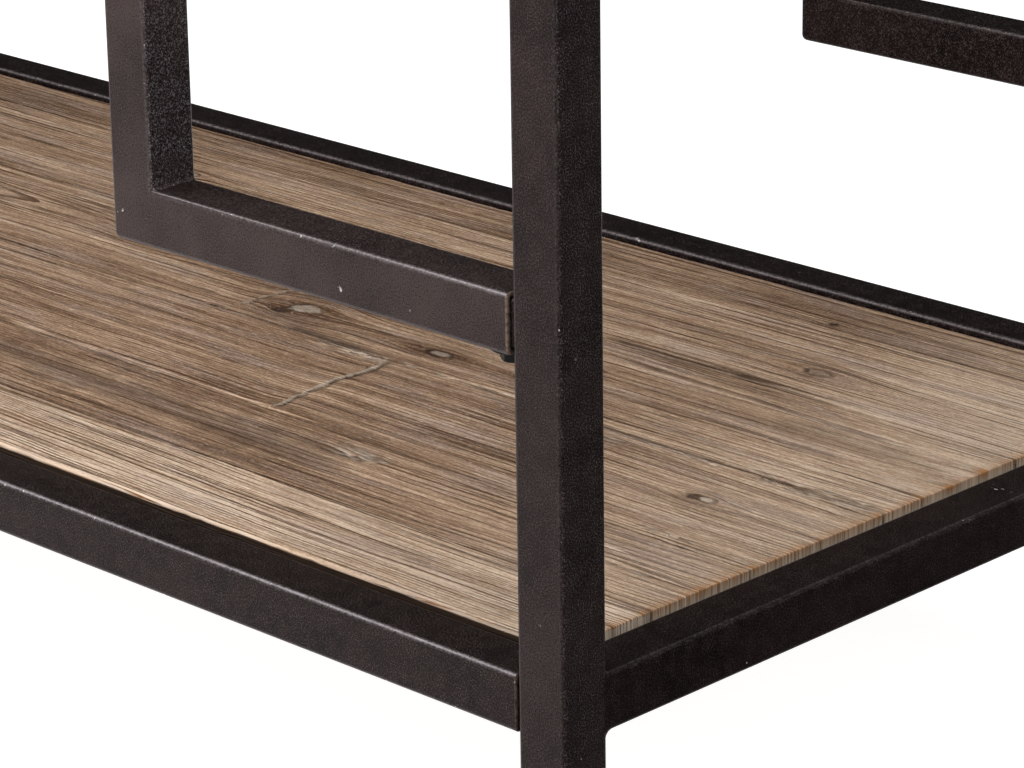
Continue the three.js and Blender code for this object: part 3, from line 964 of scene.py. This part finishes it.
# Painted shade: how far below the top the front board's front face starts to darken, and where it is fully
# dark, in mm.
FRONT_SHADE_START = 1.5
FRONT_SHADE_FULL = 2.1
# How fine the meshes are, across the grain and along it.
SHELF_STEPS = (0.5, 5.0)
TOP_STEPS = (0.9, 8.0)
Board = namedtuple(
    "Board",
    "node low high seed tone heart knots spikes streaks glows chips row_step column_step front_round",
)


def sampled(start, end, step, edge_steps, fine_spots=(), fine_reach=0.0, fine_step=1.0):
    """Sorted places from start to end: even steps, extra ones near both ends and near the fine spots."""
    places = list(np.linspace(start, end, max(2, int(round((end - start) / step)) + 1)))
    for gap in edge_steps:
        places += [start + gap, end - gap]
    for spot in fine_spots:
        places += list(np.arange(spot - fine_reach, spot + fine_reach, fine_step))
    kept = []
    for place in sorted(p for p in places if start <= p <= end):
        if not kept or place - kept[-1] > 0.08:
            kept.append(place)
    kept[-1] = end
    return np.array(kept)


def spike_line(spike, y):
    """Where a spike's middle line lies along the board, at each place y across it."""
    return spike.x + (y - spike.y) * (spike.end_x - spike.x) / (spike.end_y - spike.y)


def board_grain(board, x, y):
    """The grain's own coordinates: across, which flows round the knots, and rings, one per year."""
    seed = board.seed
    across = y + 5.0 * (noise(x / 260, y / 90, seed) - 0.5) + 1.0 * (noise(x / 45, y / 14, seed + 1) - 0.5)
    across = across + 0.35 * (noise(x / 11, y / 3.5, seed + 2) - 0.5)
    for knot in board.knots:
        reach = bell(x - knot.x, 3.2 * knot.length)
        across = across - (y - knot.y) * 0.82 * reach * bell(y - knot.y, 2.2 * knot.width)
    for spike in board.spikes:
        off = x - spike_line(spike, y)
        across = across + 1.4 * bell(off, 9) * np.sign(off) * bell(off, 20)
    heart = board.heart
    depth = heart.depth + heart.slope * (x - 228) + 3.0 * (noise(x / 400, 0 * x, seed + 3) - 0.5)
    distance = np.hypot(across - heart.y, depth)
    rings = distance / RING_GAP + 3.2 * (noise(distance / 11, 0 * x, seed + 4) - 0.5)
    for knot in board.knots:
        q = np.hypot((x - knot.x) / knot.length, (y - knot.y) / knot.width)
        inside = 1 - rise(q, 0.75, 1.15)
        middle = board.seed % 7 + q * knot.width / 1.1
        rings = rings * (1 - inside) + middle * inside
    return across, rings


def board_marks(board, x, y, across, to_side, to_front, to_end):
    """Tone, worn grey, dark stain with painted shade, and warm fresh wood, each 0 to 1, and the dip of each
    mark in mm. The painted shade is the shadow beside each spike and chip, and the darker side of each
    knot's rim.
    """
    seed = board.seed
    tone = board.tone + 0.30 * (layered(x / 160, across / 9, seed + 10) - 0.5)
    tone = tone + 0.25 * (layered(x / 300, across / 40, seed + 20) - 0.5) + PALE_END * bell(to_end, 95)
    worn, stain_and_shade, dip = END_GREY * bell(to_end, 110), np.zeros_like(x), np.zeros_like(x)
    ragged = layered(x / 5, y / 2.5, seed + 30, 2)
    for knot in board.knots:
        dx, dy = (x - knot.x) / knot.length, (y - knot.y) / knot.width
        q = np.hypot(dx, dy) + 1.4 * (layered(x / 6, y / 4, seed + 31) - 0.5)
        inside = 1 - rise(q, 0.55, 1.0)
        # Each knot's dark rim is its own colour, and it is painted darker on the same side of every knot as
        # shade.
        shaded_side = 0.10 + 0.75 * rise(-dx - 0.6 * dy, -0.4, 0.9)
        rim = bell(q - 1.0, 0.24) * shaded_side
        worn = np.maximum(worn, knot.pale * inside * (0.55 + 0.6 * ragged))
        stain_and_shade = np.maximum(stain_and_shade, 0.62 * rim + 1.4 * max(0.5 - knot.pale, 0) * inside)
        tone = tone - 0.22 * bell(q, 2.6)
        dip = dip + 0.45 * rim - 0.20 * inside
    for spike in board.spikes:
        line = spike_line(spike, y) + 6 * (noise(y / 22, 0 * y, seed + 32) - 0.5)
        line = line + 2 * (noise(y / 4, 0 * y, seed + 33) - 0.5)
        span = rise(y, min(spike.y, spike.end_y) - 3, min(spike.y, spike.end_y) + 3)
        span = span * (1 - rise(y, max(spike.y, spike.end_y) - 3, max(spike.y, spike.end_y) + 3))
        width = spike.width * (0.6 + 0.8 * noise(y / 8, 0 * y, seed + 34))
        q = (x - line) / width
        inside = (1 - rise(np.abs(q), 0.5, 1.1)) * span
        shadow = bell(q - 1.2, 0.8) * span
        frayed = layered(x / 2.5, y / 1.2, seed + 45, 2)
        worn = np.maximum(worn, spike.pale * inside * (0.25 + 1.3 * frayed))
        stain_and_shade = np.maximum(stain_and_shade, spike.pale * shadow * (0.25 + 1.5 * frayed))
        dip = dip + 0.35 * shadow - 0.15 * inside
    for streak in board.streaks:
        cut = streak_mask(streak, x, y, seed + 35)
        stain_and_shade = np.maximum(stain_and_shade, streak.depth * cut)
        dip = dip + 0.5 * cut
    glow = np.zeros_like(x)
    for streak in board.glows:
        glow = np.maximum(glow, streak.depth * streak_mask(streak, x, y, seed + 36))
    front_edge = bell(to_front, 1.3) if board.front_round > SEAM_ROUND else 0.0
    tone = tone + 0.9 * glow + 0.35 * front_edge
    for chip in board.chips:
        window = rise(x, chip.start, chip.start + 8) * (1 - rise(x, chip.end - 8, chip.end))
        window = window * bell(y - chip.y, chip.width)
        torn = rise(layered(x / 5, across / 1.1, seed + 37), 0.47, 0.58) * window
        shade = rise(layered(x / 7, across / 0.9, seed + 38), 0.50, 0.60) * window
        worn = np.maximum(worn, 0.9 * torn)
        stain_and_shade = np.maximum(stain_and_shade, 0.55 * shade)
        dip = dip + 0.7 * torn
    end_wear = bell(to_end, 3.4 + 3 * (noise(y / 4, 0 * y, seed + 39) - 0.5))
    rubbed = rise(noise(x / 14, y, seed + 40), 0.2, 0.6)
    warm = np.maximum(0.9 * end_wear, 0.55 * front_edge * rubbed)
    warm = np.maximum(warm, 0.35 * glow)
    stain_and_shade = np.maximum(stain_and_shade, 0.55 * bell(to_side, 0.45) * (1 - front_edge))
    return tone, np.clip(worn, 0, 1), np.clip(stain_and_shade, 0, 1), np.clip(warm, 0, 1), dip


def streak_mask(streak, x, y, seed):
    """1 along a thin ragged line that follows the grain, with tapered ends."""
    window = rise(x, streak.start, streak.start + 14) * (1 - rise(x, streak.end - 30, streak.end))
    if streak.end - streak.start < 50:
        window = rise(x, streak.start, streak.start + 3) * (1 - rise(x, streak.end - 3, streak.end))
    line = streak.y + 1.5 * (noise(x / 30, 0 * x, seed) - 0.5)
    width = streak.width * (0.4 + 1.2 * noise(x / 9, 0 * x, seed + 1))
    return window * bell(y - line, np.maximum(width, 0.35))


def rounded_off(gap, radius):
    """How far a rounded edge falls below the face, at a distance gap from the edge."""
    inward = np.clip(radius - gap, 0, radius)
    return radius - np.sqrt(np.maximum(radius ** 2 - inward ** 2, 0))


def board_face(board, low, high, x, y):
    """The upper face's points, grain and marks, with a row for each point."""
    to_side = np.minimum(y - low.y, high.y - y)
    to_end = np.minimum(x - low.x, high.x - x)
    across, rings = board_grain(board, x, y)
    tone, worn, stain_and_shade, warm, dip = board_marks(board, x, y, across, to_side, y - low.y, to_end)
    arris = 0.40 + 0.5 * layered(x / 40, y / 40, board.seed + 41)
    drop = rounded_off(high.y - y, arris)
    drop = np.maximum(drop, rounded_off(to_end, arris))
    drop = np.maximum(drop, rounded_off(y - low.y, board.front_round))
    late = rise(rings % 1, 0.5, 0.9) * (1 - rise(rings % 1, 0.93, 1.0))
    relief = 0.16 * late + 0.12 * layered(x / 60, across / 1.4, board.seed + 43) + dip
    nick = 0.55 * rise(layered(x / 9, y / 50, board.seed + 44), 0.55, 0.8) * bell(to_side, 1.5)
    relief = np.maximum(relief * rise(to_side + 0.4, 0, 1.2), 0)
    side = np.where(y > (low.y + high.y) / 2, -1, 1)
    points = np.stack([x, y + side * nick, high.z - drop - relief], axis=-1).reshape(-1, 3)
    flow = np.stack([x, across, rings], axis=-1).reshape(-1, 3)
    marks = np.stack([tone, worn, stain_and_shade, warm], axis=-1).reshape(-1, 4)
    return points, flow, marks


def board_wall(board, low, high, height, rim, rim_x, rim_y, rim_marks):
    """One ring of points round the board at a height, with their grain and marks.

    rim holds the face's outermost points. rim_x and rim_y are their places before the edges were nicked.
    """
    ring = rim.copy()
    ring[:, 2] = height
    if height == low.z:
        middle = ring.mean(axis=0)
        ring[:, :2] += np.sign(middle - ring)[:, :2] * LOWER_ARRIS
        ring[:, 0] = np.clip(ring[:, 0], low.x + LOWER_ARRIS, high.x - LOWER_ARRIS)
        ring[:, 1] = np.clip(ring[:, 1], low.y + LOWER_ARRIS, high.y - LOWER_ARRIS)
        flow = np.stack([ring[:, 0], ring[:, 1], np.full(len(ring), float(board.seed))], axis=-1)
        return ring, flow, np.tile([board.tone, 0.0, 0.08, 0.0], (len(ring), 1))
    at_end = np.minimum(rim_x - low.x, high.x - rim_x) < 0.01
    in_front = rim_y < (low.y + high.y) / 2
    beyond = np.where(at_end, 0, np.where(in_front, -1, 1))
    flow = np.stack([rim_x, *board_grain(board, rim_x, rim_y + beyond * (high.z - height))], axis=-1)
    end_face = (np.minimum(ring[:, 0] - low.x, high.x - ring[:, 0]) < 1)[:, None]
    marks = np.where(end_face, rim_marks * [1, 0, 1, 0] + [0, 0.65, 0, 0], rim_marks)
    # Painted shade: below the rounded arris the front board's front face is made fully dark, standing in
    # for shade in the gap before the rail.
    if board.front_round > SEAM_ROUND and height <= high.z - FRONT_SHADE_FULL:
        marks[~at_end & in_front, 2] = 1.0
    return ring, flow, marks


def board_mesh(board):
    """A closed board with brushed grain relief, rounded arrises and slightly ragged edges."""
    low, high = board.low / MM, board.high / MM
    edge_steps = (0.12, 0.3, 0.6, 1.0, 1.6, 2.2)
    spots = [knot.x for knot in board.knots] + [spike.x for spike in board.spikes]
    columns = sampled(low.x, high.x, board.column_step, edge_steps, spots, 26, 1.3)
    rows = sampled(low.y, high.y, board.row_step, edge_steps)
    x, y = np.meshgrid(columns, rows)
    top, flow, marks = board_face(board, low, high, x, y)

    index = np.arange(x.size).reshape(x.shape)
    faces = np.stack([index[:-1, :-1], index[:-1, 1:], index[1:, 1:], index[1:, :-1]], axis=-1)
    border = np.concatenate([index[0, :-1], index[:-1, -1], index[-1, :0:-1], index[:0:-1, 0]])
    points, flows, mark_rows, quads = [top], [flow], [marks], [faces.reshape(-1, 4)]
    upper = border
    start = len(top)
    wall_heights = [high.z - 4.0, low.z + 0.6, low.z]
    if board.front_round > SEAM_ROUND:
        wall_heights = [high.z - FRONT_SHADE_START, high.z - FRONT_SHADE_FULL] + wall_heights
    for height in wall_heights:
        rim_x, rim_y = x.ravel()[border], y.ravel()[border]
        ring, ring_flow, ring_marks = board_wall(
            board, low, high, height, top[border], rim_x, rim_y, marks[border]
        )
        points.append(ring)
        flows.append(ring_flow)
        mark_rows.append(ring_marks)
        lower = np.arange(start, start + len(border))
        quads.append(np.stack([upper, np.roll(upper, -1), np.roll(lower, -1), lower], axis=-1)[:, ::-1])
        upper = lower
        start += len(border)
    mesh = bpy.data.meshes.new(board.node)
    all_faces = [tuple(face) for face in np.concatenate(quads).tolist()]
    all_faces.append(tuple(upper.tolist()[::-1]))
    mesh.from_pydata((np.concatenate(points) * MM).tolist(), [], all_faces)
    flow_layer = mesh.attributes.new("flow", "FLOAT_VECTOR", "POINT")
    flow_layer.data.foreach_set("vector", np.concatenate(flows).ravel())
    mark_layer = mesh.attributes.new("marks", "FLOAT_COLOR", "POINT")
    mark_layer.data.foreach_set("color", np.concatenate(mark_rows).ravel())
    return mesh


def nearby(marks, low, high, reach=4):
    """The marks that lie on a board between low and high."""
    return [mark for mark in marks if low.y / MM - reach < mark.y < high.y / MM + reach]


def random_knots(board_number, low, high, limit, count):
    """Knots for the parts of the boards that have no marks of their own."""
    chance = np.random.default_rng(500 + board_number)
    knots = []
    for _ in range(count):
        x = chance.uniform(low.x / MM + 60, limit)
        y = chance.uniform(low.y / MM + 12, high.y / MM - 12)
        length = chance.uniform(5, 12)
        knots.append(Knot(x, y, length, length * chance.uniform(0.5, 0.8), chance.uniform(0.1, 0.8)))
    return knots


def make_boards(fir):
    for number, (tone, heart) in enumerate(zip(SHELF_TONES, SHELF_HEARTS), start=1):
        node = f"shelf_plank_{number}"
        low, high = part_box(node)
        knots = nearby(SHELF_KNOTS, low, high, 0)
        knots += random_knots(number, low, high, 180, 2)
        board = Board(
            node, low, high, 100 * number, tone, heart, knots,
            [s for s in SHELF_SPIKES if low.y / MM < (s.y + s.end_y) / 2 < high.y / MM],
            nearby(SHELF_STREAKS, low, high),
            nearby(SHELF_GLOWS, low, high),
            nearby(SHELF_CHIPS, low, high),
            *SHELF_STEPS, FRONT_ROUND if number == 1 else SEAM_ROUND,
        )
        dress(f"{node}_fir", board_mesh(board), fir, [node])
    for number, tone in enumerate(TOP_TONES, start=1):
        node = f"top_plank_{number}"
        low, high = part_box(node)
        chance = np.random.default_rng(900 + number)
        middle = (low.y + high.y) / 2 / MM
        heart = Heart(middle + chance.uniform(-60, 60), chance.uniform(30, 70), chance.uniform(-0.02, 0.02))
        knots = random_knots(50 + number, low, high, high.x / MM - 60, 4)
        front = FRONT_ROUND if number == 1 else SEAM_ROUND
        seed = 1000 + 100 * number
        board = Board(node, low, high, seed, tone, heart, knots, [], [], [], [], *TOP_STEPS, front)
        dress(f"{node}_fir", board_mesh(board), fir, [node])


# ------------------------------------------------------------------ the CAD nodes that stay

def shade_cad(node, material):
    """Gives a CAD node its material."""
    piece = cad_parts[node]
    piece.data.materials.clear()
    piece.data.materials.append(material)


def make_fittings(oxide):
    steel, plated, plastic = mill_steel(), zinc(), black_plastic()
    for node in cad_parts:
        if "cross_bar" in node:
            shade_cad(node, steel)
        elif "set_screw" in node:
            shade_cad(node, oxide)
        elif "screw" in node:
            shade_cad(node, plated)
        elif node.startswith("foot_"):
            shade_cad(node, plastic)


def main():
    make_camera()
    make_lights()
    make_world()
    make_floor()
    bpy.context.scene.view_settings.view_transform = "Standard"
    iron, oxide = aged_iron(), black_oxide()
    make_legs(iron)
    make_rails(iron)
    make_l_frames(iron)
    make_rail_welds(iron)
    make_bolts(oxide)
    make_boards(weathered_fir())
    make_fittings(oxide)


main()
